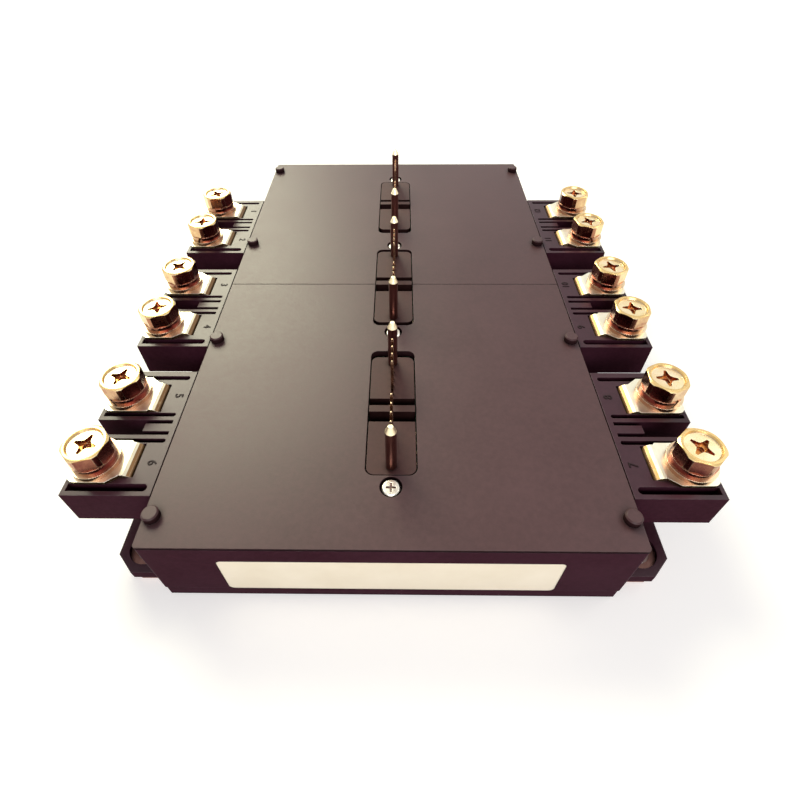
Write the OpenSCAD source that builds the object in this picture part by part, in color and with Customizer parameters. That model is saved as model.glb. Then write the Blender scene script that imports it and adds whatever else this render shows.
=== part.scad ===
// Six-in-one power transistor module: a moulded case on a metal base plate,
// with twelve screw terminals on side fingers and three rows of control pins.
// Units are millimetres. X runs across the module, Y along it, Z up.
// The origin is the middle of the flat mounting face under the base plate.

/* [Case] */
// Length of the case
case_l = 172; // [168:1:190]
// Width of the case over its side walls
case_w = 102.7; // [100:0.1:112]
// Height of the lid's top face over the mounting face
case_h = 24; // [23:0.5:28]
// Thickness of the case walls
wall = 2.8; // [2.4:0.1:3.2]
// Gap left under the lower edge of the end walls
skirt_lift = 0.5; // [0.2:0.1:1]
// Clearance between parts that are pushed together
fit = 0.05; // [0.03:0.01:0.1]

/* [Base plate] */
// Width of the base plate
plate_w = 126; // [124:0.5:130]
// Thickness of the base plate
plate_t = 4; // [3:0.5:4.5]
// Corner cut on the base plate
plate_cut = 4.2; // [2:0.2:5]
// Diameter of the four mounting holes
mount_d = 5.5; // [4.5:0.1:6]
// Distance from the plate's side edge to a mounting hole
mount_side = 5.5; // [5:0.1:5.8]
// Distance from the plate's end to a mounting hole
mount_end = 5.45; // [5:0.05:6]
// Diameter of the clear ring round each hole, where the metal shows
ring_d = 8.6; // [7.6:0.1:8.8]
// Thickness of the case flange on top of the base plate
flange_t = 1; // [0.8:0.1:1.6]
// Thickness of the rim that wraps the base plate
rim_t = 0.7; // [0.5:0.1:1]
// Depth of the rim below the flange
rim_drop = 1.6; // [1:0.1:2]

/* [Lids] */
// Thickness of the two lids
lid_t = 2; // [1.6:0.1:2.4]
// Gap between the two lids where they meet
lid_seam = 0.2; // [0.1:0.05:0.4]
// Thickness of the thin lid edge over the case walls
edge_t = 0.4; // [0.3:0.1:0.6]
// Height of the dark joint under the lid edge
joint_gap = 0.4; // [0.2:0.1:0.6]
// Gap between the lid edge and the terminal strips
strip_gap = 0.25; // [0.15:0.05:0.4]
// Length of the three windows in the lids
window_l = 39; // [38:0.5:40]
// Width of the windows
window_w = 11.8; // [11:0.1:13]
// Corner radius of the windows
window_r = 2; // [1.5:0.25:2.5]
// Distance between the middles of two windows
window_pitch = 49.7; // [49:0.1:50]
// Clearance round a pin block in its window
window_gap = 0.2; // [0.15:0.05:0.35]
// Diameter of the locating pegs on the lids
peg_d = 3.6; // [3:0.1:3.7]
// Height of the locating pegs
peg_h = 1.8; // [1:0.1:2.5]
// Distance from the case's side to the middle of a peg
peg_inset = 1.9; // [1.9:0.05:3]
// Distance from the case's ends to the outer pegs
peg_end = 6.7; // [3:0.1:10]
// Distance from the lids' seam to the inner pegs of the front lid
peg_front = 25.8; // [20:0.1:40]
// Distance from the lids' seam to the inner pegs of the rear lid
peg_rear = 23.3; // [20:0.1:40]

/* [Terminal fingers] */
// Reach of the fingers beyond the case wall
finger_reach = 20; // [19:0.25:22]
// Height of the fingers
finger_h = 10.2; // [10:0.1:11]
// Length of a pair of fingers along the case
pair_l = 36.4; // [36:0.1:38]
// Distance between the middles of two pairs
pair_pitch = 46.1; // [44:0.1:47]
// Distance from the front end of the case to the first pair
pair_front = 11.4; // [10:0.1:13]
// Width of the air gap between the two fingers of a pair
pair_gap = 4.3; // [4:0.1:4.6]
// Width of the rib that stands in that gap
rib_w = 2.3; // [1.8:0.1:2.5]
// Reach of that rib beyond the case wall
rib_reach = 8; // [6:0.5:12]
// Thickness of the thin walls beside the gap
inner_wall = 1.15; // [1:0.05:1.3]
// Thickness of the thin wall at the front of a pair
front_wall = 1.1; // [1:0.05:1.5]
// Thickness of the thin wall at the back of a pair
back_wall = 1.6; // [1.2:0.1:1.9]
// Thickness of the wall that closes a finger
end_wall = 0.9; // [0.8:0.1:1.2]
// Width of the platform that carries a terminal
seat_w = 10.9; // [10.8:0.05:11.2]
// Width of the slots beside the gap
slot_w = 1.1; // [0.9:0.05:1.2]
// Depth of all the slots
slot_depth = 6.2; // [5:0.1:6.4]
// Distance from the case wall to the inner end of the slots
slot_start = 1.55; // [1.4:0.05:1.8]

/* [Terminals] */
// Distance between the two screws of a pair
screw_pitch = 19.8; // [19.5:0.1:19.9]
// Distance from a finger's end to its screw
screw_inset = 5.2; // [5.2:0.1:6]
// Width of a terminal tab
tab_w = 11.1; // [10.8:0.1:11.3]
// Width of the neck where the tab bends down
neck_w = 8.8; // [8:0.1:8.8]
// Distance of the neck's middle from the screw, towards the gap of the pair
neck_shift = 0.7; // [0.2:0.1:0.7]
// Thickness of the terminal metal
tab_t = 0.8; // [0.6:0.05:1]
// Distance from the case wall to the terminal's bend
bend_in = 5.65; // [5.2:0.05:6]
// Radius of the wide bend beside a tab, at mid thickness
tab_bend_r = 2.4; // [2:0.1:2.6]
// Radius of the other bends at mid thickness
bend_r = 1.2; // [1:0.1:1.4]
// Diameter of the clearance hole in the tab
tab_hole_d = 6.6; // [6.4:0.1:7]

/* [Terminal screws] */
// Thread diameter of the terminal screws
screw_d = 6; // [5:0.5:6]
// Length of the screws under the head
screw_l = 12; // [11:0.5:12.5]
// Width of the screw heads across flats
head_af = 9.2; // [9:0.1:9.4]
// Diameter that the corners of the heads are rounded to
head_d = 10; // [9.8:0.1:10.2]
// Height of the screw heads
head_h = 4.2; // [3.6:0.1:5]
// Diameter of the dish in the screw heads
dish_d = 8; // [7:0.1:8.2]
// Depth of the dish
dish_depth = 0.6; // [0.4:0.1:1]
// Length of the cross recess from tip to tip
cross_l = 5.2; // [4.8:0.1:6]
// Width of the arms of the cross recess at their tips
cross_w = 0.6; // [0.5:0.05:0.8]
// Depth of the cross recess below the dish
cross_depth = 1.8; // [1.2:0.1:2.4]
// Diameter of the spring washers
spring_d = 9.8; // [9.4:0.1:10.4]
// Thickness of the spring washers
spring_t = 1.5; // [1.2:0.1:1.8]
// Diameter of the flat washers
flat_d = 11; // [10.6:0.1:11.6]
// Thickness of the flat washers
flat_t = 1.2; // [0.8:0.1:1.6]
// Width of the nuts across flats
nut_af = 10; // [9.5:0.1:10]
// Height of the nuts held in the fingers
nut_h = 5; // [4:0.1:5.2]

/* [Control pins] */
// Distance between the middles of two pin blocks
block_pitch = 50.8; // [50.4:0.1:51]
// Width of a pin block
block_w = 11.2; // [10:0.1:11.4]
// Distance between neighbouring signal pins
pin_pitch = 2.54; // [2.4:0.02:2.6]
// Side of a square signal pin
pin_side = 0.64; // [0.5:0.02:0.7]
// Height of the signal pins over the lid
pin_rise = 12; // [8:0.5:14]
// Diameter of the guide pins
guide_d = 2.5; // [2:0.1:2.6]
// Height of the guide pins over the lid
guide_rise = 14.5; // [12:0.5:18]
// Distance from a block's middle to its guide pins
guide_offset = 16; // [15.5:0.1:16.2]
// Length of the blunt cone on a guide pin
guide_tip = 1.6; // [1:0.1:2]
// Depth of a guide pin's shank in its block
guide_seat = 5; // [3:0.5:6]
// Diameter of that shank
guide_shank_d = 2; // [1.6:0.1:2]
// Width of the key bar across a block
key_bar = 2; // [1.6:0.1:2.4]
// Height of the key bar over the block
key_rise = 0.6; // [0.2:0.1:1]
// Width of the two key slots beside the bar
key_slot = 2.6; // [2.2:0.1:2.8]
// Depth of the key slots
key_depth = 5; // [3:0.5:6]

/* [Control board] */
// Height of the board's underside over the mounting face
board_z = 14; // [13:0.5:14]
// Thickness of the board
board_t = 1.6; // [1:0.1:1.6]
// Width of the board
board_w = 89; // [80:1:90]
// Gap from the board to the end walls
board_gap = 1.2; // [0.8:0.2:3]

/* [Power stage] */
// Size of a ceramic substrate along the case
sub_l = 38; // [34:1:40]
// Thickness of a substrate
sub_t = 1; // [0.6:0.1:1.2]
// Gap between the two substrates of a phase
sub_gap = 5; // [4:0.5:8]
// Thickness of the copper pads
pad_t = 0.3; // [0.2:0.05:0.5]
// Side of a transistor chip
igbt_side = 12; // [9:0.5:12.5]
// Side of a diode chip
diode_side = 9; // [7:0.5:9.5]
// Thickness of the chips
chip_t = 0.4; // [0.2:0.05:0.5]
// Diameter of the bond wires
wire_d = 0.4; // [0.3:0.05:0.5]

/* [Label] */
// Length of the blank label
label_l = 72.4; // [60:0.2:80]
// Height of the blank label
label_h = 14; // [10:0.5:15]
// Thickness of the blank label
label_t = 0.25; // [0.15:0.05:0.4]
// Height of the label's lower edge over the mounting face
label_z = 3.9; // [3:0.1:6]

/* [Hidden] */

$fn = 48;
// Overlap that keeps cuts and unions clean
eps = 0.01;

// Heights
lid_z = case_h - lid_t;
wall_top = case_h - edge_t - joint_gap;
finger_z = case_h - finger_h;
tab_z = case_h;
flat_z = tab_z + tab_t;
spring_z = flat_z + flat_t;
head_z = spring_z + spring_t;
sub_z = plate_t;
pad_z = sub_z + sub_t;
chip_z = pad_z + pad_t;

// Case walls and cavity
half_w = case_w / 2;
half_l = case_l / 2;
cavity_w = case_w - 2 * wall;
cavity_l = case_l - 2 * wall;
// The base plate and its rim fill the length between the end walls
plate_l = cavity_l - 2 * (rim_t + fit);
mount_dx = plate_w - 2 * mount_side;
mount_dy = plate_l - 2 * mount_end;
// Part of the wall's thickness that carries the lid
ledge_w = wall / 2;
flange_w = plate_w + 2 * (rim_t + fit);
flange_l = plate_l + 2 * (rim_t + fit);
case_corner_r = 0.8;

// Fingers
finger_end = half_w + finger_reach;
screw_x = finger_end - screw_inset;
seat_in = pair_gap / 2 + inner_wall + slot_w;
seat_out = seat_in + seat_w;
pair_first = pair_front + pair_l / 2 - half_l;
pair_ys = [for (i = [0:2]) pair_first + i * pair_pitch];

// Terminals, seen from above: 1 to 6 on the left from the back, 7 to 12 on the right from the front
terminal_count = 12;
per_side = terminal_count / 2;
function terminal_side(k) = k <= per_side ? -1 : 1;
// Place along the side, 0 at the front
function terminal_index(k) = k <= per_side ? per_side - k : k - per_side - 1;
function terminal_facing(k) = terminal_index(k) % 2 == 0 ? -1 : 1;
function terminal_y(k) = pair_ys[floor(terminal_index(k) / 2)] + terminal_facing(k) * screw_pitch / 2;
leg_x = half_w + bend_in + tab_t / 2;
run_z = 15.2;
foot_x = half_w - wall - tab_t / 2 - 0.8;
foot_end = foot_x - 4.5;
foot_z = pad_z + pad_t + tab_t / 2;

// Lids and windows
block_l = window_l - 2 * (block_pitch - window_pitch) - 2 * window_gap;
lid_screw_d = 2.9;
lid_head_d = 4.2;
lid_head_h = 1.1;
lid_recess_d = 5;
lid_recess_h = 1.3;
lid_screw_l = 8;
screw_margin = 0.3;
lid_screw_ys = [window_l / 2 + screw_margin + lid_recess_d / 2,
    window_pitch + window_l / 2 + screw_margin + lid_recess_d / 2];
peg_ys = [peg_end - half_l, -peg_front, peg_rear, half_l - peg_end];

// Ribs and pillars inside the case
rib_t = 2.4;
cross_ys = [pair_first + pair_pitch / 2, pair_first + 1.5 * pair_pitch];
pillar_d = 5.8;
pillar_z = 7;
web_t = 2;

// Control block
block_z = board_z + board_t;
block_r = window_r - window_gap;
pin_tail = 1.2;
pin_firsts = 2;
pins_per_row = 4;
pin_offsets = [for (s = [-1, 1], i = [0:pins_per_row - 1]) s * (pin_firsts + i) * pin_pitch];

// Power stage
sub_w = cavity_w / 2 - sub_gap / 2 - fit;
sub_x = sub_gap / 2 + sub_w / 2;
pad_edge = 1.2;

// ---------- small helpers ----------

// Puts a child made for the right-hand side on side s
module on_side(s) {
    if (s < 0) mirror([1, 0, 0]) children();
    else children();
}

// Rectangle centred on the origin with round corners
module round_rect(w, l, r) {
    square([w - 2 * r, l], center = true);
    square([w, l - 2 * r], center = true);
    for (x = [-1, 1], y = [-1, 1])
        translate([x * (w / 2 - r), y * (l / 2 - r)]) circle(r = r);
}

// Rectangle centred on the origin with cut corners
module cut_rect(w, l, c) {
    polygon([[-w / 2 + c, -l / 2], [w / 2 - c, -l / 2], [w / 2, -l / 2 + c], [w / 2, l / 2 - c],
        [w / 2 - c, l / 2], [-w / 2 + c, l / 2], [-w / 2, l / 2 - c], [-w / 2, -l / 2 + c]]);
}

module block(x0, x1, y0, y1, z0, z1) {
    translate([x0, y0, z0]) cube([x1 - x0, y1 - y0, z1 - z0]);
}

module hexagon(af) {
    circle(d = af / cos(30), $fn = 6);
}

module bore(d, z0, z1) {
    translate([0, 0, z0]) cylinder(d = d, h = z1 - z0);
}

// Left-hand normal of a flat vector
function normal(d) = [-d[1], d[0]];
function unit(v) = v / norm(v);
// Points on one side of a rounded corner at b, off to the left of the path
function corner_points(a, b, c, r, off, steps) =
    let (d = unit(b - a), e = unit(c - b), s = sign(cross(d, e)))
    let (m = b - d * r + s * r * normal(d), ray = -s * normal(d) * (r - s * off))
    [for (i = [0:steps]) let (t = s * 90 * i / steps)
        m + [cos(t) * ray[0] - sin(t) * ray[1], sin(t) * ray[0] + cos(t) * ray[1]]];
// One edge of a strip that follows path p, whose corners are bent to the radii r
function strip_edge(p, r, off, steps) =
    let (n = len(p) - 1, first = normal(unit(p[1] - p[0])), last = normal(unit(p[n] - p[n - 1])))
    concat([p[0] + off * first],
        [for (i = [1:n - 1]) each corner_points(p[i - 1], p[i], p[i + 1], r[i - 1], off, steps)],
        [p[n] + off * last]);
function reversed(p) = [for (i = [len(p) - 1:-1:0]) p[i]];
// Outline of a bent strip of thickness t
function strip_outline(p, r, t) = concat(strip_edge(p, r, t / 2, 6), reversed(strip_edge(p, r, -t / 2, 6)));
// Points of a quarter circle
function arc_points(cx, cy, r, from, to, steps) =
    [for (i = [0:steps]) let (t = from + (to - from) * i / steps) [cx + r * cos(t), cy + r * sin(t)]];

// Repeats its child, made for the right front finger, at terminal k
module at_terminal(k) {
    on_side(terminal_side(k)) translate([0, terminal_y(k), 0])
        if (terminal_facing(k) > 0) mirror([0, 1, 0]) children();
        else children();
}

// ---------- base plate ----------

module base_plate() {
    color("silver") difference() {
        linear_extrude(plate_t) cut_rect(plate_w, plate_l, plate_cut);
        for (x = [-1, 1], y = [-1, 1])
            translate([x * mount_dx / 2, y * mount_dy / 2, 0]) bore(mount_d, -eps, plate_t + eps);
    }
}

// ---------- housing ----------

// Plan of a pair of fingers beside the wall, from x0 outwards
module pair_plan(x0) {
    difference() {
        translate([x0, -pair_l / 2]) square([finger_end - x0, pair_l]);
        translate([half_w + slot_start, -pair_gap / 2]) square([finger_reach, pair_gap]);
    }
    translate([half_w + slot_start - eps, -rib_w / 2]) square([rib_reach - slot_start, rib_w]);
}

module pair_solid() {
    translate([0, 0, finger_z]) linear_extrude(lid_z - finger_z) pair_plan(half_w - wall / 2);
    translate([0, 0, lid_z - eps]) linear_extrude(lid_t + eps) pair_plan(half_w + strip_gap);
}

// Isolation slot of width w from y upwards, round at its inner end
module slot(y, w) {
    x0 = half_w + slot_start;
    x1 = finger_end - end_wall;
    translate([0, y, case_h - slot_depth]) linear_extrude(slot_depth + eps) {
        translate([x0 + w / 2, 0]) square([x1 - x0 - w / 2, w]);
        translate([x0 + w / 2, w / 2]) circle(d = w);
    }
}

// Slots of a pair: two beside the gap, one at each outer edge
module pair_slots() {
    front = pair_l / 2 - seat_out - front_wall;
    back = pair_l / 2 - seat_out - back_wall;
    slot(-seat_in, slot_w);
    slot(seat_in - slot_w, slot_w);
    slot(-seat_out - front, front);
    slot(seat_out, back);
}

// Nut pocket, screw clearance and strip channel of one terminal
module terminal_cuts() {
    translate([screw_x, 0, 0]) {
        translate([0, 0, case_h - nut_h - fit]) linear_extrude(nut_h + 1) hexagon(nut_af + 2 * fit);
        bore(screw_d + 0.8, finger_z + 1, case_h);
    }
    cut = neck_w / 2 + fit;
    low = run_z - tab_t / 2 - fit;
    translate([0, neck_shift, 0]) {
        block(leg_x - tab_t / 2 - fit, leg_x + tab_t / 2 + fit, -cut, cut, low, case_h + 1);
        block(half_w - wall - 1, leg_x + tab_t / 2 + fit, -cut, cut, low, run_z + tab_t / 2 + fit);
        lip(leg_x, tab_z + tab_t / 2, 1, -1, tab_bend_r);
        lip(leg_x, run_z, -1, 1, bend_r);
    }
}

// Rounded inner corner of the channel at a bend of radius r; sx and sz point into the bend
module lip(x, z, sx, sz, r) {
    cut = neck_w / 2 + fit;
    inner_d = 2 * (r - tab_t / 2 - fit);
    translate([x, 0, z]) scale([sx, 1, sz]) difference() {
        block(0, r, -cut, cut, 0, r);
        translate([r, 0, r]) rotate([90, 0, 0]) cylinder(d = inner_d, h = neck_w + 4, center = true);
    }
}

// Side and end walls with the rebate for the lids
module case_walls() {
    difference() {
        union() {
            translate([0, 0, plate_t]) linear_extrude(wall_top - plate_t)
                round_rect(case_w, case_l, case_corner_r);
            for (s = [-1, 1])
                translate([0, s * (half_l - wall / 2), skirt_lift]) linear_extrude(plate_t)
                    square([case_w - 2 * case_corner_r, wall - 2 * fit], center = true);
        }
        block(-cavity_w / 2, cavity_w / 2, -cavity_l / 2, cavity_l / 2, plate_t - 1, case_h);
        block(-half_w + ledge_w, half_w - ledge_w, -half_l + ledge_w, half_l - ledge_w, lid_z, case_h);
    }
}

// Thin flange over the base plate with a rim round its edge
module flange() {
    difference() {
        translate([0, 0, plate_t - rim_drop]) linear_extrude(rim_drop + flange_t)
            cut_rect(flange_w, flange_l, plate_cut);
        translate([0, 0, plate_t - rim_drop - 1]) linear_extrude(rim_drop + 1)
            cut_rect(plate_w + 2 * fit, plate_l + 2 * fit, plate_cut);
        block(-cavity_w / 2, cavity_w / 2, -cavity_l / 2, cavity_l / 2, 0, case_h);
    }
}

// Cross ribs that carry the board, with webs and pillars for the lid screws
module inner_ribs() {
    difference() {
        union() {
            for (y = cross_ys)
                block(-cavity_w / 2 - eps, cavity_w / 2 + eps, y - rib_t / 2, y + rib_t / 2,
                    plate_t, board_z);
            for (s = [-1, 1]) {
                rib = s < 0 ? cross_ys[0] : cross_ys[1];
                inner = s * lid_screw_ys[0];
                outer = s * lid_screw_ys[1];
                end = s * (cavity_l / 2 + eps);
                block(-web_t / 2, web_t / 2, min(rib, inner), max(rib, inner), pillar_z, board_z);
                block(-web_t / 2, web_t / 2, min(outer, end), max(outer, end), pillar_z, board_z);
            }
        }
        // Room for the tails of the signal pins
        for (y = cross_ys)
            block(-pin_side - 1, pin_side + 1, y - rib_t, y + rib_t, board_z - pin_tail - 0.5, case_h);
    }
    for (s = [-1, 1], y = lid_screw_ys) translate([0, s * y, 0]) bore(pillar_d, pillar_z, lid_z);
}

module housing() {
    color("#2b2325") difference() {
        union() {
            case_walls();
            flange();
            inner_ribs();
            for (s = [-1, 1], y = pair_ys) on_side(s) translate([0, y, 0]) pair_solid();
        }
        for (s = [-1, 1], y = pair_ys) on_side(s) translate([0, y, 0]) pair_slots();
        for (k = [1:terminal_count]) at_terminal(k) terminal_cuts();
        for (x = [-1, 1], y = [-1, 1])
            translate([x * mount_dx / 2, y * mount_dy / 2, 0]) bore(ring_d, 0, plate_t + flange_t + 1);
        for (s = [-1, 1], y = lid_screw_ys)
            translate([0, s * y, 0])
                bore(lid_screw_d + 2 * fit, case_h - lid_recess_h - lid_screw_l - 1, case_h);
        label_pocket();
    }
}

// ---------- lids ----------

module window_cuts() {
    for (i = [-1:1]) translate([0, i * window_pitch, lid_z - 5])
        linear_extrude(lid_t + 10) round_rect(window_w, window_l, window_r);
}

// Locating peg of a lid, with a small chamfer at its top
module peg() {
    soft = 0.3;
    cylinder(d = peg_d, h = peg_h - soft);
    translate([0, 0, peg_h - soft]) cylinder(d1 = peg_d, d2 = peg_d - 2 * soft, h = soft);
}

// Lid from y0 to y1: a plate in the rebate, a thin edge over the walls and a rib below
module lid(y0, y1, front) {
    inside_w = case_w - 2 * ledge_w - 2 * fit;
    inner = front ? y1 : y0;
    outer = front ? -half_l : half_l;
    outer_in = outer - sign(outer) * (ledge_w + fit);
    rib_out = outer - sign(outer) * (wall + fit);
    rib_in = rib_out - sign(outer) * 1.2;
    rib_drop = 1.5;
    difference() {
        union() {
            block(-inside_w / 2, inside_w / 2, min(inner, outer_in), max(inner, outer_in), lid_z, case_h);
            intersection() {
                translate([0, 0, case_h - edge_t]) linear_extrude(edge_t)
                    round_rect(case_w, case_l, case_corner_r);
                block(-half_w, half_w, min(inner, outer), max(inner, outer), lid_z, case_h + 1);
            }
            block(-cavity_w / 2 + 1, cavity_w / 2 - 1, min(rib_in, rib_out), max(rib_in, rib_out),
                lid_z - rib_drop, lid_z + eps);
            for (x = [-1, 1], y = peg_ys)
                if (sign(y) == sign(outer))
                    translate([x * (half_w - peg_inset), y, case_h - eps]) peg();
        }
        window_cuts();
        for (y = lid_screw_ys) translate([0, sign(outer) * y, 0]) {
            bore(lid_screw_d + 4 * fit, lid_z - 1, case_h + 1);
            bore(lid_recess_d, case_h - lid_recess_h, case_h + 1);
        }
    }
}

module front_lid() {
    color("#352b2c") lid(-half_l, -lid_seam / 2, true);
}

module rear_lid() {
    color("#352b2c") lid(lid_seam / 2, half_l, false);
}

// Pan-head screws of the lids, with a cross recess
module lid_screw() {
    z = case_h - lid_recess_h;
    translate([0, 0, z]) difference() {
        union() {
            cylinder(d = lid_head_d, h = lid_head_h - 0.3);
            translate([0, 0, lid_head_h - 0.3]) cylinder(d1 = lid_head_d, d2 = lid_head_d - 0.7, h = 0.3);
        }
        for (a = [0, 90]) rotate(a) translate([-1.1, -0.25, 0.4]) cube([2.2, 0.5, 1]);
    }
    translate([0, 0, z - lid_screw_l]) cylinder(d = lid_screw_d, h = lid_screw_l + eps);
}

module lid_screws() {
    color("gainsboro") for (s = [-1, 1], y = lid_screw_ys) translate([0, s * y, 0]) lid_screw();
}

// ---------- control pins ----------

// Blocks 1 to 3 stand in a row from the front to the back
function block_y(i) = (i - 2) * block_pitch;
module pin_block(i) {
    color("#2e2627") translate([0, block_y(i), 0]) difference() {
        union() {
            translate([0, 0, block_z]) linear_extrude(case_h - block_z) round_rect(block_w, block_l, block_r);
            block(-block_w / 2, block_w / 2, -key_bar / 2, key_bar / 2, case_h - eps, case_h + key_rise);
        }
        for (s = [-1, 1]) translate([0, s * (key_bar + key_slot) / 2, case_h - key_depth / 2 + eps])
            cube([block_w + 1, key_slot, key_depth], center = true);
        for (y = pin_offsets) translate([0, y, case_h / 2 + block_z / 2])
            cube([pin_side + 2 * fit, pin_side + 2 * fit, case_h], center = true);
        for (s = [-1, 1]) translate([0, s * guide_offset, 0])
            bore(guide_shank_d + 2 * fit, case_h - guide_seat - fit, case_h + 1);
    }
}

// Square pins with a cut tip, from under the board to over the lid
module signal_pins(i) {
    tip = 0.8;
    color("gold") for (y = pin_offsets) translate([0, block_y(i) + y, 0]) {
        translate([-pin_side / 2, -pin_side / 2, board_z - pin_tail])
            cube([pin_side, pin_side, case_h + pin_rise - tip - board_z + pin_tail]);
        translate([0, 0, case_h + pin_rise - tip]) rotate(45)
            cylinder(d1 = pin_side * sqrt(2), d2 = pin_side * 0.7, h = tip, $fn = 4);
    }
}

// Pin with a blunt cone on top, standing just clear of the block on its thinner shank
module guide_pin() {
    flat = 1.1;
    lift = 0.1;
    translate([0, 0, case_h - guide_seat]) cylinder(d = guide_shank_d, h = guide_seat + lift + eps);
    translate([0, 0, case_h + lift]) cylinder(d = guide_d, h = guide_rise - guide_tip - lift);
    translate([0, 0, case_h + guide_rise - guide_tip]) cylinder(d1 = guide_d, d2 = flat, h = guide_tip);
}

module guide_pins() {
    color("goldenrod") for (i = [1:3], s = [-1, 1])
        translate([0, block_y(i) + s * guide_offset, 0]) guide_pin();
}

// ---------- terminals ----------

// Path of the terminal strip in the X-Z plane, from the tab to the foot on the substrate
tab_end = finger_end - 0.3;
flat_x = leg_x + tab_bend_r;
terminal_path = [[flat_x + 1, tab_z + tab_t / 2], [leg_x, tab_z + tab_t / 2], [leg_x, run_z],
    [foot_x, run_z], [foot_x, foot_z], [foot_end, foot_z]];
terminal_bends = [tab_bend_r, bend_r, bend_r, bend_r];

// Plan of the tab beyond the wide bend, made with its outer edge towards -Y
module tab_plan() {
    half = tab_w / 2;
    near = neck_shift - neck_w / 2;
    far = neck_shift + neck_w / 2;
    taper = 1.35 * (near + half);
    step = half - far;
    corner = 2;
    difference() {
        polygon(concat(
            [[flat_x, near], [flat_x + taper, -half]],
            arc_points(tab_end - corner, -half + corner, corner, -90, 0, 6),
            arc_points(tab_end - corner, half - corner, corner, 0, 90, 6),
            arc_points(flat_x + step, half - step, step, 90, 180, 5)));
        translate([screw_x, 0]) circle(d = tab_hole_d);
    }
}

module terminal(k) {
    color("#e4dcc8") at_terminal(k) {
        translate([0, neck_shift, 0]) rotate([90, 0, 0]) translate([0, 0, -neck_w / 2])
            linear_extrude(neck_w) polygon(strip_outline(terminal_path, terminal_bends, tab_t));
        translate([0, 0, tab_z]) linear_extrude(tab_t) tab_plan();
    }
}

module terminal_nuts() {
    color("darkgray") for (k = [1:terminal_count]) at_terminal(k)
        translate([screw_x, 0, case_h - nut_h]) difference() {
            linear_extrude(nut_h - fit) hexagon(nut_af);
            bore(screw_d + 2 * fit, -1, nut_h + 1);
        }
}

module flat_washers() {
    color("#d9b25c") for (k = [1:terminal_count]) at_terminal(k)
        translate([screw_x, 0, flat_z]) difference() {
            cylinder(d = flat_d, h = flat_t);
            bore(screw_d + 0.4, -1, flat_t + 1);
        }
}

// Split ring, cut through at a slant
module spring_washers() {
    color("#c99a5a") for (k = [1:terminal_count]) at_terminal(k)
        translate([screw_x, 0, spring_z]) difference() {
            cylinder(d = spring_d, h = spring_t);
            bore(screw_d + 0.3, -1, spring_t + 1);
            rotate(terminal_index(k) * 70) translate([spring_d / 2, 0, spring_t / 2]) rotate([30, 0, 0])
                cube([spring_d, 0.7, 4 * spring_t], center = true);
        }
}

// Cross with arms that narrow towards their tips
module cross_plan() {
    tip = cross_l / 2;
    side = cross_w / 2;
    mid = cross_l * 0.27;
    arm = [[tip, -side], [tip, side], [mid, side + 0.3], [mid * 0.62, mid * 0.62], [side + 0.3, mid]];
    polygon([for (a = [0:90:270], p = arm)
        [cos(a) * p[0] - sin(a) * p[1], sin(a) * p[0] + cos(a) * p[1]]]);
}

// Hexagon head with rounded corners, a dished top with a round rim and a cross recess
module screw_head() {
    rim = 0.4;
    top_d = head_af - 0.2;
    floor_z = head_h - dish_depth;
    difference() {
        intersection() {
            linear_extrude(head_h) hexagon(head_af);
            union() {
                cylinder(d1 = head_d - rim, d2 = head_d, h = rim);
                translate([0, 0, rim]) cylinder(d = head_d, h = head_h - 2 * rim);
                translate([0, 0, head_h - rim]) cylinder(d1 = head_d, d2 = top_d, h = rim);
            }
        }
        translate([0, 0, floor_z]) cylinder(d1 = dish_d - 0.7, d2 = dish_d, h = dish_depth + eps);
        translate([0, 0, floor_z - cross_depth * 0.6]) linear_extrude(head_h) cross_plan();
        translate([0, 0, floor_z - cross_depth]) cylinder(d = cross_l * 0.36, h = head_h);
    }
}

// Turn of each screw head, for terminals 1 to 12
head_turns = [126, 82, 150, 160, 166, 104, 42, 96, 82, 81, 100, 100];
module terminal_screws() {
    color("#dcae5a") for (k = [1:terminal_count]) at_terminal(k) translate([screw_x, 0, head_z]) {
        rotate(head_turns[k - 1]) screw_head();
        translate([0, 0, -screw_l]) cylinder(d = screw_d, h = screw_l + 1);
    }
}

// ---------- control board ----------

module control_board() {
    board_l = cavity_l - 2 * board_gap;
    color("darkgreen") difference() {
        translate([0, 0, board_z]) linear_extrude(board_t) round_rect(board_w, board_l, 1.5);
        for (s = [-1, 1], y = lid_screw_ys)
            translate([0, s * y, 0]) bore(pillar_d + 0.6, board_z - 1, board_z + board_t + 1);
        for (i = [1:3], y = pin_offsets) translate([0, block_y(i) + y, 0])
            bore(pin_side * sqrt(2) + 4 * fit, board_z - 1, board_z + board_t + 1);
        for (y = link_ys, x = [-1, 1])
            translate([x * link_x, y, 0]) bore(link_d + 2 * fit, board_z - 1, board_z + board_t + 1);
    }
}

driver_l = 17.5;
driver_w = 7.5;
driver_h = 2.3;
driver_x = 24;
module driver_chips() {
    color("#222222") for (x = [-1, 1], y = pair_ys)
        translate([x * driver_x, y, board_z + board_t + driver_h / 2])
            cube([driver_w, driver_l, driver_h], center = true);
}

// Round pins that carry the gate signals from the board down to the substrates
link_d = 0.8;
link_x = 6;
link_ys = [for (y = pair_ys, j = [-1.5:1:1.5]) y + j * 3];
module link_pins() {
    color("gold") for (y = link_ys, x = [-1, 1])
        translate([x * link_x, y, chip_z]) cylinder(d = link_d, h = board_z + board_t + 0.5 - chip_z);
}

// ---------- power stage ----------

// Substrates 1 to 3 on the left from the back, 4 to 6 on the right from the front
function sub_side(n) = n <= 3 ? -1 : 1;
function sub_y(n) = n <= 3 ? pair_ys[3 - n] : pair_ys[n - 4];
module at_substrate(n) {
    on_side(sub_side(n)) translate([sub_x, sub_y(n), 0]) children();
}

module substrate(n) {
    color("white") at_substrate(n) translate([-sub_w / 2, -sub_l / 2, sub_z]) cube([sub_w, sub_l, sub_t]);
}

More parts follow.
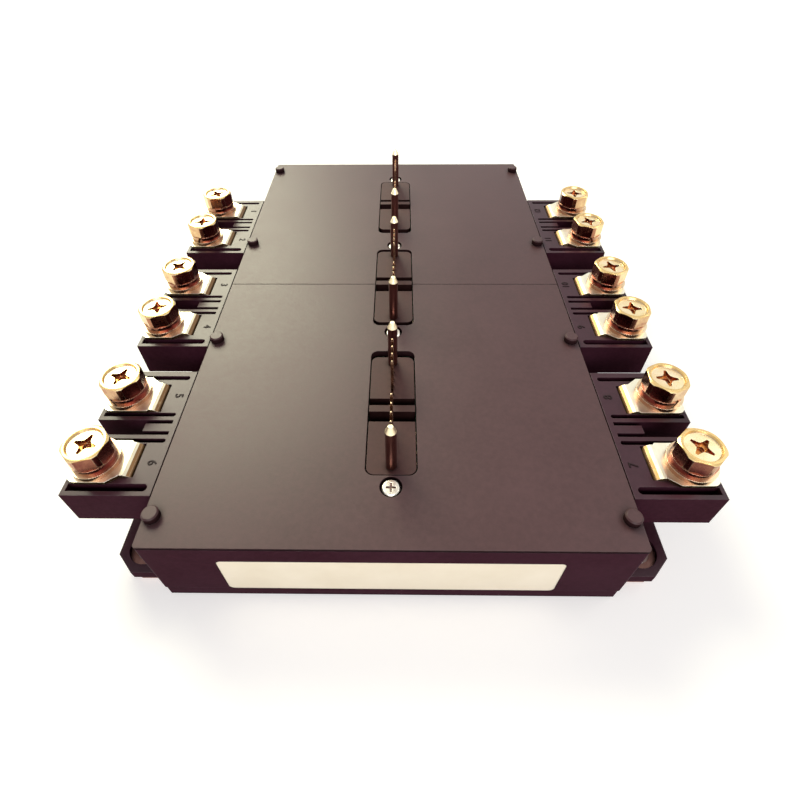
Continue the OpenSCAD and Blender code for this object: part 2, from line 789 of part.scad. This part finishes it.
// Each substrate has a gate pad inside, two switch pads and a collector rail under the feet
pad_gate_w = 6;
pad_rail_w = 6;
pad_gap = 1;
pad_mid_w = sub_w - 2 * pad_edge - pad_gate_w - pad_rail_w - 2 * pad_gap;
pad_mid_x = -sub_w / 2 + pad_edge + pad_gate_w + pad_gap + pad_mid_w / 2;
pad_half_l = (sub_l - 2 * pad_edge - pad_gap) / 2;
pad_half_y = (pad_half_l + pad_gap) / 2;
module copper_pads() {
    color("#c77f4a") for (n = [1:6]) at_substrate(n) translate([0, 0, pad_z]) {
        translate([-sub_w / 2 + pad_edge, -sub_l / 2 + pad_edge, 0])
            cube([pad_gate_w, sub_l - 2 * pad_edge, pad_t]);
        for (s = [-1, 1]) {
            translate([pad_mid_x - pad_mid_w / 2, s * pad_half_y - pad_half_l / 2, 0])
                cube([pad_mid_w, pad_half_l, pad_t]);
            translate([sub_w / 2 - pad_edge - pad_rail_w, s * pad_half_y - pad_half_l / 2, 0])
                cube([pad_rail_w, pad_half_l, pad_t]);
        }
    }
}

igbt_x = pad_mid_x - pad_mid_w / 2 + 1.5 + igbt_side / 2;
diode_x = pad_mid_x + pad_mid_w / 2 - 1.5 - diode_side / 2;
module igbt_chips() {
    color("dimgray") for (n = [1:6], s = [-1, 1]) at_substrate(n)
        translate([igbt_x, s * pad_half_y, chip_z + chip_t / 2])
            cube([igbt_side, igbt_side, chip_t], center = true);
}

module diode_chips() {
    color("gray") for (n = [1:6], s = [-1, 1]) at_substrate(n)
        translate([diode_x, s * pad_half_y, chip_z + chip_t / 2])
            cube([diode_side, diode_side, chip_t], center = true);
}

// Half-round wire loops from chip to chip and from the diode to the rail
wires_per_chip = 4;
wire_step = 2;
module wire_loop(span) {
    rotate([90, 0, 0]) rotate_extrude(angle = 180, $fn = 24)
        translate([span / 2, 0]) circle(d = wire_d, $fn = 16);
}
module bond_wires() {
    z = chip_z + chip_t;
    hop = diode_x - igbt_x - 2;
    rail_hop = 5.5;
    color("lightgray") for (n = [1:6], s = [-1, 1], j = [0:wires_per_chip - 1]) at_substrate(n) {
        y = s * pad_half_y + (j - (wires_per_chip - 1) / 2) * wire_step;
        translate([(igbt_x + diode_x) / 2, y - wire_step / 4, z]) wire_loop(hop);
        translate([diode_x + 2.2 + rail_hop / 2, y + wire_step / 4, z]) wire_loop(rail_hop);
    }
}

// ---------- label ----------

module label_pocket() {
    translate([0, -half_l + label_t + fit, label_z + label_h / 2]) rotate([90, 0, 0])
        linear_extrude(label_t + 1) round_rect(label_l + 2 * fit, label_h + 2 * fit, 1.2);
}

module label_plate() {
    color("#ece2c8") translate([0, -half_l + label_t + fit, label_z + label_h / 2]) rotate([90, 0, 0])
        linear_extrude(label_t) round_rect(label_l, label_h, 1.2);
}

// ---------- nodes ----------

base_plate();
housing();
front_lid();
rear_lid();
pin_block(1);  // pin_block_1
pin_block(2);  // pin_block_2
pin_block(3);  // pin_block_3
signal_pins(1);  // signal_pins_1
signal_pins(2);  // signal_pins_2
signal_pins(3);  // signal_pins_3
guide_pins();
lid_screws();
terminal(1);  // terminal_1
terminal(2);  // terminal_2
terminal(3);  // terminal_3
terminal(4);  // terminal_4
terminal(5);  // terminal_5
terminal(6);  // terminal_6
terminal(7);  // terminal_7
terminal(8);  // terminal_8
terminal(9);  // terminal_9
terminal(10);  // terminal_10
terminal(11);  // terminal_11
terminal(12);  // terminal_12
terminal_nuts();
flat_washers();
spring_washers();
terminal_screws();
control_board();
driver_chips();
link_pins();
substrate(1);  // substrate_1
substrate(2);  // substrate_2
substrate(3);  // substrate_3
substrate(4);  // substrate_4
substrate(5);  // substrate_5
substrate(6);  // substrate_6
copper_pads();
igbt_chips();
diode_chips();
bond_wires();
label_plate();
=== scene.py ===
import math

import bmesh
import bpy
from mathutils import Matrix, Vector


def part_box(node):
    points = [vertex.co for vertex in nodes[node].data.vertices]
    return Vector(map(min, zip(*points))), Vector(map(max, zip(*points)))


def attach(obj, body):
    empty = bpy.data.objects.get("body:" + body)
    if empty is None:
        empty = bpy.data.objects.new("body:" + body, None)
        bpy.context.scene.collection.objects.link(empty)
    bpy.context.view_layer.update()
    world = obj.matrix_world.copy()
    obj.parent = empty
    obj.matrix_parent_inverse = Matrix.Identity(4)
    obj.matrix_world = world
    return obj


MM = 0.001
MIX_SOCKETS = 0, 6, 7  # a Mix node's factor and its two colours
MIX_RESULT = 2  # and its colour output
EDGE_LEAN = 0.02, 0.35  # how far a normal leans where an edge begins, and where it is full
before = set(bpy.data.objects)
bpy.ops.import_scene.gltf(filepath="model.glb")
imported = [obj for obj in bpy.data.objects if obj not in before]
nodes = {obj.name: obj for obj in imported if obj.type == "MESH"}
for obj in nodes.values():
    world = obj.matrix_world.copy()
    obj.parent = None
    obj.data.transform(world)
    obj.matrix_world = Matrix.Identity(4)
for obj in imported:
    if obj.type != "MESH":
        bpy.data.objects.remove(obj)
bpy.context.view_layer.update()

# ---------------------------------------------------------------- node helpers


def new_material(name):
    """A material, its node tree and its shader."""
    material = bpy.data.materials.new(name)
    material.use_nodes = True
    tree = material.node_tree
    return material, tree, tree.nodes["Principled BSDF"]


def coords(t, scale=(1, 1, 1), rotation=(0, 0, 0)):
    """Object coordinates, optionally squeezed or turned, so that a pattern can run along one axis."""
    place = t.nodes.new("ShaderNodeTexCoord")
    mapping = t.nodes.new("ShaderNodeMapping")
    mapping.inputs["Scale"].default_value = scale
    mapping.inputs["Rotation"].default_value = rotation
    t.links.new(place.outputs["Object"], mapping.inputs["Vector"])
    return mapping.outputs["Vector"]


def axis(t, vector, name):
    """One of X, Y or Z of a vector."""
    split = t.nodes.new("ShaderNodeSeparateXYZ")
    t.links.new(vector, split.inputs[0])
    return split.outputs[name]


def facing(t):
    """The surface's own normal."""
    return t.nodes.new("ShaderNodeNewGeometry").outputs["Normal"]


def noise(t, vector, scale, detail, rough, distortion=0.0):
    """A cloud pattern with scale cells per metre."""
    n = t.nodes.new("ShaderNodeTexNoise")
    n.inputs["Scale"].default_value = scale
    n.inputs["Detail"].default_value = detail
    n.inputs["Roughness"].default_value = rough
    n.inputs["Distortion"].default_value = distortion
    t.links.new(vector, n.inputs["Vector"])
    return n.outputs["Fac"]


def maths(t, operation, *values):
    """One arithmetic step; each value is a plain number or a socket."""
    n = t.nodes.new("ShaderNodeMath")
    n.operation = operation
    for socket, value in zip(n.inputs, values):
        if isinstance(value, (int, float)):
            socket.default_value = value
        else:
            t.links.new(value, socket)
    return n.outputs[0]


def spread(t, fac, lo, hi, a, b):
    """Maps lo..hi to a..b and holds the ends."""
    r = t.nodes.new("ShaderNodeMapRange")
    for key, value in (("From Min", lo), ("From Max", hi), ("To Min", a), ("To Max", b)):
        r.inputs[key].default_value = value
    t.links.new(fac, r.inputs["Value"])
    return r.outputs["Result"]


def mix(t, fac, a, b):
    """Mixes two colours; each of fac, a and b is a plain value or a socket."""
    n = t.nodes.new("ShaderNodeMix")
    n.data_type = "RGBA"
    for key, value in zip(MIX_SOCKETS, (fac, a, b)):
        if isinstance(value, (int, float)):
            n.inputs[key].default_value = value
        elif isinstance(value, tuple):
            n.inputs[key].default_value = (*value[:3], 1)
        else:
            t.links.new(value, n.inputs[key])
    return n.outputs[MIX_RESULT]


def bumps(t, b, layers, normal=None):
    """Stacks bump layers, each (height socket, depth in metres, strength), on a normal."""
    for height, depth, strength in layers:
        n = t.nodes.new("ShaderNodeBump")
        n.inputs["Distance"].default_value = depth
        n.inputs["Strength"].default_value = strength
        t.links.new(height, n.inputs["Height"])
        if normal is not None:
            t.links.new(normal, n.inputs["Normal"])
        normal = n.outputs["Normal"]
    t.links.new(normal, b.inputs["Normal"])


def edge_mask(t, radius):
    """One along edges, by how far the rounded normal leans from the true one; also that normal."""
    v = t.nodes.new("ShaderNodeBevel")
    v.samples = 4
    v.inputs["Radius"].default_value = radius
    d = t.nodes.new("ShaderNodeVectorMath")
    d.operation = "DISTANCE"
    t.links.new(v.outputs["Normal"], d.inputs[0])
    t.links.new(facing(t), d.inputs[1])
    return spread(t, d.outputs["Value"], *EDGE_LEAN, 0, 1), v.outputs["Normal"]


def creases(t, reach, darkest):
    """Painted shade: one in the open, down to darkest in corners, slots and gaps narrower than reach.
    """
    n = t.nodes.new("ShaderNodeAmbientOcclusion")
    n.samples = 6
    n.inputs["Distance"].default_value = reach
    return spread(t, n.outputs["AO"], 0.45, 0.9, darkest, 1)


def outward(t):
    """One where a face looks away from the module's middle line, zero where it looks towards it."""
    lean = maths(t, "MULTIPLY", axis(t, coords(t), "X"), axis(t, facing(t), "X"))
    return spread(t, lean, -0.04, 0.05, 0, 1)


# ---------------------------------------------------------------- kinds of surface

# Noise scales, in cells per metre
CLOUD, RUBS, FLOW, FINE, GRAIN = 28, 420, 160, 900, 3200
PLATING, PATINA, SPOTS, BRUSHING = 260, 120, 1400, 2600
# Radii that edges are rounded to for the light
PLASTIC_EDGE, METAL_EDGE, LABEL_EDGE = 0.22 * MM, 0.16 * MM, 0.5 * MM
# Creases in the plastic: how far they reach, and what is left of the light in the deepest
CREASE_REACH, CREASE_LIGHT = 1.6 * MM, 0.3
# Refractive index of the plastic on upright and on level faces
UPRIGHT_INDEX, LEVEL_INDEX = 1.15, 1.5


def plastic(
        name, dark, light, rough, grain=0.5, streak=0.0, worn=None, shine=(0.12, 0.5), upright=1.0):
    """Moulded engineering plastic: cloudy tone, grain, faint flow marks, rubbed edges, painted shade
    in creases.

    shine is the specular level of upright and of level faces, since the level ones are smoother;
    upright is the painted shade on the upright ones, how dark they are beside the level ones."""
    m, t, b = new_material(name)
    v = coords(t)
    cloud = noise(t, v, CLOUD, 5, 0.6, 0.3)
    fine = noise(t, v, FINE, 3, 0.6)
    grains = noise(t, v, GRAIN, 2, 0.6)
    tone = mix(t, spread(t, cloud, 0.3, 0.7, 0, 1), dark, light)
    tone = mix(t, spread(t, fine, 0.35, 0.7, 0, 0.22), tone, tuple(1.7 * c for c in light))
    edge, soft = edge_mask(t, PLASTIC_EDGE)
    if worn:
        rub = spread(t, noise(t, v, RUBS, 4, 0.7), 0.42, 0.7, 0.1, 0.75)
        tone = mix(t, maths(t, "MULTIPLY", edge, rub), tone, worn)
    level = axis(t, facing(t), "Z")
    # Painted shade: the crease mask darkens the colour and dims the specular level in corners, slots
    # and gaps.
    shade = creases(t, CREASE_REACH, CREASE_LIGHT)
    # Painted shade: upright faces are darkened by the upright factor as well as in creases.
    painted_shade = maths(t, "MULTIPLY", shade, spread(t, level, 0.3, 0.8, upright, 1))
    t.links.new(mix(t, painted_shade, (0, 0, 0), tone), b.inputs["Base Color"])
    r = mix(t, 0.5, spread(t, cloud, 0.3, 0.7, *rough), spread(t, fine, 0.3, 0.7, *rough))
    t.links.new(r, b.inputs["Roughness"])
    gloss = maths(t, "MULTIPLY", shade, spread(t, level, 0.3, 0.9, *shine))
    t.links.new(gloss, b.inputs["Specular IOR Level"])
    t.links.new(spread(t, level, 0.3, 0.9, UPRIGHT_INDEX, LEVEL_INDEX), b.inputs["IOR"])
    layers = [(grains, 0.02 * MM, grain), (fine, 0.04 * MM, grain * 0.35)]
    if streak:
        flow = noise(t, coords(t, (1, 0.12, 1)), FLOW, 4, 0.6, 0.6)
        layers.append((flow, 0.06 * MM, streak))
    bumps(t, b, layers, soft)
    return m


def metal(
        name, dark, light, rough, brushed=None, patina=None, dents=0.15, side=None, bend=(0.35, 0.8)):
    """Plated metal: two tones, spotty roughness, optional brushing and patches of a second tint.

    side holds three colours painted on upright faces as reflection and shade: towards the middle
    line, between, and away from it;
    bend is how far up a face looks where the side's painted colours end and the level ones begin."""
    m, t, b = new_material(name)
    v = coords(t)
    cloud = noise(t, v, PLATING, 4, 0.6, 0.4)
    spots = noise(t, v, SPOTS, 3, 0.6)
    tone = mix(t, spread(t, cloud, 0.3, 0.7, 0, 1), dark, light)
    if patina:
        patches = spread(t, noise(t, v, PATINA, 3, 0.5, 0.8), 0.45, 0.75, 0, 0.8)
        tone = mix(t, patches, tone, patina)
    # Painted reflection and shade: upright faces take the side colours by which way they face,
    # lighter away from the middle line, and bent faces blend into them.
    if side:
        lean = maths(t, "ADD", outward(t), spread(t, cloud, 0.3, 0.7, -0.16, 0.16))
        painted_flank = mix(t, spread(t, lean, 0.1, 0.5, 0, 1), side[0], side[1])
        painted_flank = mix(t, spread(t, lean, 0.55, 0.95, 0, 1), painted_flank, side[2])
        level = axis(t, facing(t), "Z")
        tone = mix(t, spread(t, level, *bend, 0, 1), painted_flank, tone)
    edge, soft = edge_mask(t, METAL_EDGE)
    bright = tuple(min(1, c * 1.1 + 0.04) for c in light)
    tone = mix(t, spread(t, edge, 0, 1, 0, 0.35), tone, bright)
    t.links.new(tone, b.inputs["Base Color"])
    b.inputs["Metallic"].default_value = 1.0
    r = mix(t, 0.5, spread(t, cloud, 0.3, 0.7, *rough), spread(t, spots, 0.3, 0.7, *rough))
    t.links.new(r, b.inputs["Roughness"])
    layers = [(spots, 0.02 * MM, dents)]
    if brushed:
        layers.append((noise(t, coords(t, brushed), BRUSHING, 3, 0.6), 0.01 * MM, 0.35))
    bumps(t, b, layers, soft)
    return m


def tint_rim(material, top, depth, colour):
    """Tints the level ring that stands above a screw head's dish."""
    t = material.node_tree
    b = t.nodes["Principled BSDF"]
    tone = b.inputs["Base Color"].links[0].from_socket
    proud = spread(t, axis(t, coords(t), "Z"), top - depth, top - 0.5 * depth, 0, 0.75)
    t.links.new(mix(t, proud, tone, colour), b.inputs["Base Color"])


def tint_recess(material, top, depth, colour):
    """Paints shade on what lies more than depth below top on a screw's head, such as the floor of its
    cross.
    """
    t = material.node_tree
    b = t.nodes["Principled BSDF"]
    tone = b.inputs["Base Color"].links[0].from_socket
    sunk = spread(t, axis(t, coords(t), "Z"), top - depth, top - 0.6 * depth, 1, 0)
    level = spread(t, axis(t, facing(t), "Z"), 0.5, 0.9, 0, 1)
    t.links.new(mix(t, maths(t, "MULTIPLY", sunk, level), tone, colour), b.inputs["Base Color"])


def label_look():
    """Pale paper label: cloudy tone, upright fibres, edges a little soiled."""
    m, t, b = new_material("label_look")
    v = coords(t)
    cloud = noise(t, v, 60, 4, 0.6)
    fibre = noise(t, coords(t, (1, 1, 3)), 1500, 4, 0.65)
    tone = mix(t, spread(t, cloud, 0.3, 0.7, 0, 1), (0.80, 0.71, 0.55), (0.88, 0.80, 0.65))
    edge, soft = edge_mask(t, LABEL_EDGE)
    tone = mix(t, spread(t, edge, 0, 1, 0, 0.35), tone, (0.62, 0.52, 0.42))
    t.links.new(tone, b.inputs["Base Color"])
    t.links.new(spread(t, fibre, 0.3, 0.7, 0.42, 0.6), b.inputs["Roughness"])
    bumps(t, b, [(fibre, 0.02 * MM, 0.3), (cloud, 0.1 * MM, 0.1)], soft)
    return m


def board_look():
    """Green circuit board with the weave of its glass cloth."""
    m, t, b = new_material("board_look")
    weave = noise(t, coords(t, (1, 1, 1), (0, 0, math.radians(45))), 1200, 2, 0.5)
    cloud = noise(t, coords(t), 90, 3, 0.5)
    tone = mix(t, spread(t, cloud, 0.3, 0.7, 0, 1), (0.012, 0.085, 0.035), (0.02, 0.13, 0.055))
    t.links.new(tone, b.inputs["Base Color"])
    t.links.new(spread(t, weave, 0.3, 0.7, 0.22, 0.36), b.inputs["Roughness"])
    bumps(t, b, [(weave, 0.02 * MM, 0.3)])
    return m


def ceramic_look():
    """White ceramic substrate, fine and matt."""
    m, t, b = new_material("ceramic_look")
    v = coords(t)
    cloud = noise(t, v, 200, 4, 0.6)
    tone = mix(t, spread(t, cloud, 0.3, 0.7, 0, 1), (0.74, 0.74, 0.71), (0.84, 0.84, 0.81))
    t.links.new(tone, b.inputs["Base Color"])
    t.links.new(spread(t, cloud, 0.3, 0.7, 0.45, 0.6), b.inputs["Roughness"])
    bumps(t, b, [(noise(t, v, 2500, 2, 0.5), 0.01 * MM, 0.3)])
    return m


# ---------------------------------------------------------------- materials

# Painted reflection colours for the upright sides of the terminal screws and spring washers: maroon
# towards the middle line, pale gold away from it.
MAROON, COPPER, PALE_GOLD = (0.12, 0.022, 0.020), (0.38, 0.17, 0.10), (0.80, 0.60, 0.32)

# upright paints shade on the upright faces of the lids and pin blocks.
lid_mat = plastic(
    "lid_plastic_look", (0.046, 0.018, 0.020), (0.062, 0.027, 0.031), (0.39, 0.48),
    streak=0.12, worn=(0.11, 0.08, 0.075), shine=(0.04, 0.42), upright=0.5)
case_mat = plastic(
    "case_plastic_look", (0.028, 0.006, 0.012), (0.042, 0.013, 0.022), (0.28, 0.36),
    grain=0.4, streak=0.1, worn=(0.11, 0.07, 0.08), shine=(0.03, 0.34))
block_mat = plastic(
    "block_plastic_look", (0.042, 0.015, 0.015), (0.060, 0.026, 0.025), (0.42, 0.56),
    grain=0.4, worn=(0.14, 0.09, 0.08), shine=(0.04, 0.25), upright=0.4)
chip_mat = plastic(
    "driver_plastic_look", (0.012, 0.012, 0.013), (0.022, 0.022, 0.024), (0.35, 0.5))
number_mat = plastic(
    "number_look", (0.014, 0.007, 0.009), (0.022, 0.012, 0.014), (0.5, 0.62),
    grain=0.3, shine=(0.1, 0.15))

plate_mat = metal(
    "base_metal_look", (0.24, 0.12, 0.10), (0.36, 0.20, 0.17), (0.28, 0.42), brushed=(1, 0.05, 1))
# The side colours below are painted reflection and shade on upright and bent faces.
tab_mat = metal(
    "terminal_metal_look", (0.86, 0.81, 0.62), (0.95, 0.92, 0.76), (0.26, 0.40),
    brushed=(0.06, 1, 1), patina=(0.90, 0.82, 0.60),
    side=((0.20, 0.11, 0.05), (0.50, 0.38, 0.20), (0.86, 0.78, 0.58)), bend=(0.8, 0.998))
gold_mat = metal(
    "gold_look", (0.74, 0.52, 0.30), (0.92, 0.74, 0.48), (0.16, 0.28), dents=0.08,
    side=((0.36, 0.20, 0.14), (0.52, 0.32, 0.20), (0.70, 0.48, 0.30)))
guide_mat = metal(
    "guide_brass_look", (0.86, 0.70, 0.44), (0.96, 0.86, 0.62), (0.26, 0.38), dents=0.05,
    side=((0.11, 0.035, 0.03), (0.17, 0.06, 0.05), (0.26, 0.11, 0.08)), bend=(0.2, 0.38))
zinc_mat = metal(
    "bright_zinc_look", (0.80, 0.76, 0.64), (0.94, 0.91, 0.80), (0.2, 0.34), dents=0.12,
    side=((0.20, 0.12, 0.11), (0.34, 0.22, 0.19), (0.52, 0.40, 0.33)))
# The nuts are painted near black as painted shade, like the dark fingers they sit in.
nut_shade_mat = metal(
    "nut_shaded_steel_look", (0.030, 0.014, 0.018), (0.055, 0.030, 0.034), (0.4, 0.55), dents=0.12)
yellow_mat = metal(
    "yellow_zinc_look", (0.88, 0.66, 0.30), (0.95, 0.84, 0.56), (0.2, 0.34),
    patina=(0.93, 0.74, 0.54), dents=0.12, side=(MAROON, COPPER, PALE_GOLD))
spring_mat = metal(
    "spring_zinc_look", (0.34, 0.13, 0.09), (0.66, 0.40, 0.26), (0.14, 0.26), dents=0.12,
    side=(MAROON, (0.30, 0.13, 0.08), (0.56, 0.38, 0.22)))
pale_mat = metal(
    "pale_zinc_look", (0.72, 0.54, 0.34), (0.88, 0.74, 0.50), (0.22, 0.34),
    patina=(0.66, 0.46, 0.30), dents=0.12,
    side=((0.24, 0.11, 0.07), (0.44, 0.27, 0.16), (0.68, 0.50, 0.30)))
copper_mat = metal(
    "copper_look", (0.62, 0.30, 0.17), (0.80, 0.46, 0.30), (0.28, 0.42),
    brushed=(0.1, 1, 1), patina=(0.5, 0.27, 0.2))
wire_mat = metal("wire_look", (0.7, 0.7, 0.7), (0.85, 0.85, 0.85), (0.2, 0.32))
silicon_mat = metal(
    "silicon_look", (0.20, 0.20, 0.24), (0.34, 0.33, 0.38), (0.12, 0.22),
    patina=(0.3, 0.25, 0.36), dents=0.05)
label_mat, board_mat, ceramic_mat = label_look(), board_look(), ceramic_look()

# The crosses of the terminal screws are cut deeper than those of the lid screws.
SCREW_TOP, LID_SCREW_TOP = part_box("terminal_screws")[1].z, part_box("lid_screws")[1].z
tint_rim(yellow_mat, SCREW_TOP, 0.5 * MM, (0.68, 0.44, 0.15))
# Painted shade on the floors of the crosses: orange-brown on the terminal screws, dark brown on the
# lid screws.
tint_recess(yellow_mat, SCREW_TOP, 1.6 * MM, (0.62, 0.26, 0.07))
tint_recess(zinc_mat, LID_SCREW_TOP, 0.8 * MM, (0.22, 0.13, 0.10))

LOOKS = {
    "base_plate": plate_mat, "housing": case_mat, "front_lid": lid_mat, "rear_lid": lid_mat,
    "guide_pins": guide_mat, "lid_screws": zinc_mat, "terminal_nuts": nut_shade_mat,
    "flat_washers": pale_mat, "spring_washers": spring_mat, "terminal_screws": yellow_mat,
    "control_board": board_mat, "driver_chips": chip_mat, "link_pins": gold_mat,
    "copper_pads": copper_mat, "igbt_chips": silicon_mat, "diode_chips": silicon_mat,
    "bond_wires": wire_mat, "label_plate": label_mat,
}
for i in range(1, 4):
    LOOKS[f"pin_block_{i}"] = block_mat
    LOOKS[f"signal_pins_{i}"] = gold_mat
for i in range(1, 13):
    LOOKS[f"terminal_{i}"] = tab_mat
for i in range(1, 7):
    LOOKS[f"substrate_{i}"] = ceramic_mat
for name, look in LOOKS.items():
    slots = nodes[name].data.materials
    slots.clear()
    slots.append(look)

# ---------------------------------------------------------------- moulded terminal numbers

CASE_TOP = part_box("housing")[1].z
STRIP_X = 54.0 * MM
NUMBER_SIZE = 2.9 * MM
NUMBER_RISE = 0.06 * MM


def numeral(text, x, y, name):
    """Raised moulded digits on the strip beside a terminal, with their feet towards the terminal."""
    curve = bpy.data.curves.new(name, "FONT")
    curve.body = text
    curve.size = NUMBER_SIZE
    curve.extrude = NUMBER_RISE
    curve.bevel_depth = NUMBER_RISE / 3
    curve.resolution_u = 4
    curve.align_x = "CENTER"
    curve.align_y = "CENTER"
    drawn = bpy.data.objects.new(name, curve)
    bpy.context.scene.collection.objects.link(drawn)
    drawn.location = (x, y, CASE_TOP + 0.7 * NUMBER_RISE)
    drawn.rotation_euler.z = math.radians(90 if x > 0 else -90)
    bpy.context.view_layer.update()
    mesh = bpy.data.meshes.new_from_object(drawn)
    mesh.transform(drawn.matrix_world)
    bpy.data.objects.remove(drawn)
    piece = bpy.data.objects.new(name, mesh)
    bpy.context.scene.collection.objects.link(piece)
    mesh.materials.clear()
    mesh.materials.append(number_mat)
    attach(piece, "root")


for i in range(1, 13):
    lo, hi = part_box(f"terminal_{i}")
    side = 1 if lo.x + hi.x > 0 else -1
    numeral(str(i), side * STRIP_X, (lo.y + hi.y) / 2, f"number_{i}")

# ---------------------------------------------------------------- world and floor

SKY = 0.2  # strength of the even light that falls on the part
FLOOR_GLOW = 0.34  # lifts the floor to white where it is seen, and leaves the shadow
FLOOR_REACH = 1.5  # half the floor's side, in metres
FLOOR_DROP = 0.02 * MM  # keeps the floor clear of the plate that stands on it
SHADOW_REACH = 0.3, 0.6  # the floor goes from holding a shadow to plain white over this distance


def seen_directly(t):
    """One for camera, mirror and glass rays, zero for the rays that light the part."""
    path = t.nodes.new("ShaderNodeLightPath")
    mirror = maths(t, "MAXIMUM", path.outputs["Is Glossy Ray"], path.outputs["Is Transmission Ray"])
    return maths(t, "MAXIMUM", path.outputs["Is Camera Ray"], mirror)


world = bpy.data.worlds.new("studio")
bpy.context.scene.world = world
world.use_nodes = True
wt = world.node_tree
back = wt.nodes["Background"]
back.inputs["Color"].default_value = (1, 1, 1, 1)
wt.links.new(spread(wt, seen_directly(wt), 0, 1, SKY, 1.0), back.inputs["Strength"])

sheet = bmesh.new()
bmesh.ops.create_grid(sheet, x_segments=8, y_segments=8, size=FLOOR_REACH)
for v in sheet.verts:
    v.co.z = -FLOOR_DROP
floor_mesh = bpy.data.meshes.new("floor")
sheet.to_mesh(floor_mesh)
sheet.free()
floor = bpy.data.objects.new("floor", floor_mesh)
bpy.context.scene.collection.objects.link(floor)
floor_mat, ft, shader = new_material("floor_look")
ft.nodes.remove(shader)
paper = ft.nodes.new("ShaderNodeBsdfDiffuse")
paper.inputs["Color"].default_value = (0.86, 0.85, 0.84, 1)
glow = ft.nodes.new("ShaderNodeEmission")
far = ft.nodes.new("ShaderNodeVectorMath")
far.operation = "LENGTH"
ft.links.new(coords(ft), far.inputs[0])
rise = spread(ft, far.outputs["Value"], *SHADOW_REACH, FLOOR_GLOW, 1.0)
ft.links.new(maths(ft, "MULTIPLY", seen_directly(ft), rise), glow.inputs["Strength"])
both = ft.nodes.new("ShaderNodeAddShader")
ft.links.new(paper.outputs[0], both.inputs[0])
ft.links.new(glow.outputs[0], both.inputs[1])
ft.links.new(both.outputs[0], ft.nodes["Material Output"].inputs["Surface"])
floor_mesh.materials.append(floor_mat)

# ---------------------------------------------------------------- lamps


def lamp(name, place, target, size, power, colour):
    """A rectangular lamp that faces its target; power is in watts."""
    data = bpy.data.lights.new(name, "AREA")
    data.shape = "RECTANGLE"
    data.size, data.size_y = size
    data.energy = power
    data.color = colour
    o = bpy.data.objects.new(name, data)
    o.location = place
    o.rotation_euler = (Vector(target) - Vector(place)).to_track_quat("-Z", "Y").to_euler()
    bpy.context.scene.collection.objects.link(o)


# The window stands where the lids mirror it at their left, so its sheen fades towards the right.
lamp("window_left", (-0.48, 0.74, 0.70), (-0.02, 0, 0.02), (0.7, 0.6), 16, (1.0, 0.99, 0.72))
lamp("fill_right", (0.7, 0.1, 0.6), (0.02, 0, 0.02), (0.5, 0.5), 1.5, (1.0, 0.95, 0.9))
lamp("front_fill", (0.05, -0.8, 0.5), (0, 0, 0.02), (0.7, 0.4), 5.4, (1.0, 0.97, 0.97))

# ---------------------------------------------------------------- camera

TILT, YAW, ROLL = 0.78297, -0.01942, 0.01125  # radians below level, off the long axis, and of roll
LENS, SENSOR = 22.893165, 36  # mm
SHIFT = 0.00964, -0.05720625  # of the picture's width, right and up
CAMERA_PLACE = Vector((1.7303, -129.6947, 121.8291)) * MM
NEAREST = 5 * MM  # where the view begins

cam_data = bpy.data.cameras.new("camera")
cam = bpy.data.objects.new("camera", cam_data)
bpy.context.scene.collection.objects.link(cam)
bpy.context.scene.camera = cam
ahead = Vector((math.sin(YAW) * math.cos(TILT), math.cos(YAW) * math.cos(TILT), -math.sin(TILT)))
level_right = Vector((math.cos(YAW), -math.sin(YAW), 0))
level_down = ahead.cross(level_right)
right = math.cos(ROLL) * level_right + math.sin(ROLL) * level_down
down = -math.sin(ROLL) * level_right + math.cos(ROLL) * level_down
turn = Matrix((right, -down, -ahead)).transposed().to_4x4()
cam.matrix_world = Matrix.Translation(CAMERA_PLACE) @ turn
cam_data.sensor_width = SENSOR
cam_data.lens = LENS
cam_data.shift_x, cam_data.shift_y = SHIFT
cam_data.clip_start = NEAREST

bpy.context.scene.view_settings.view_transform = "Standard"
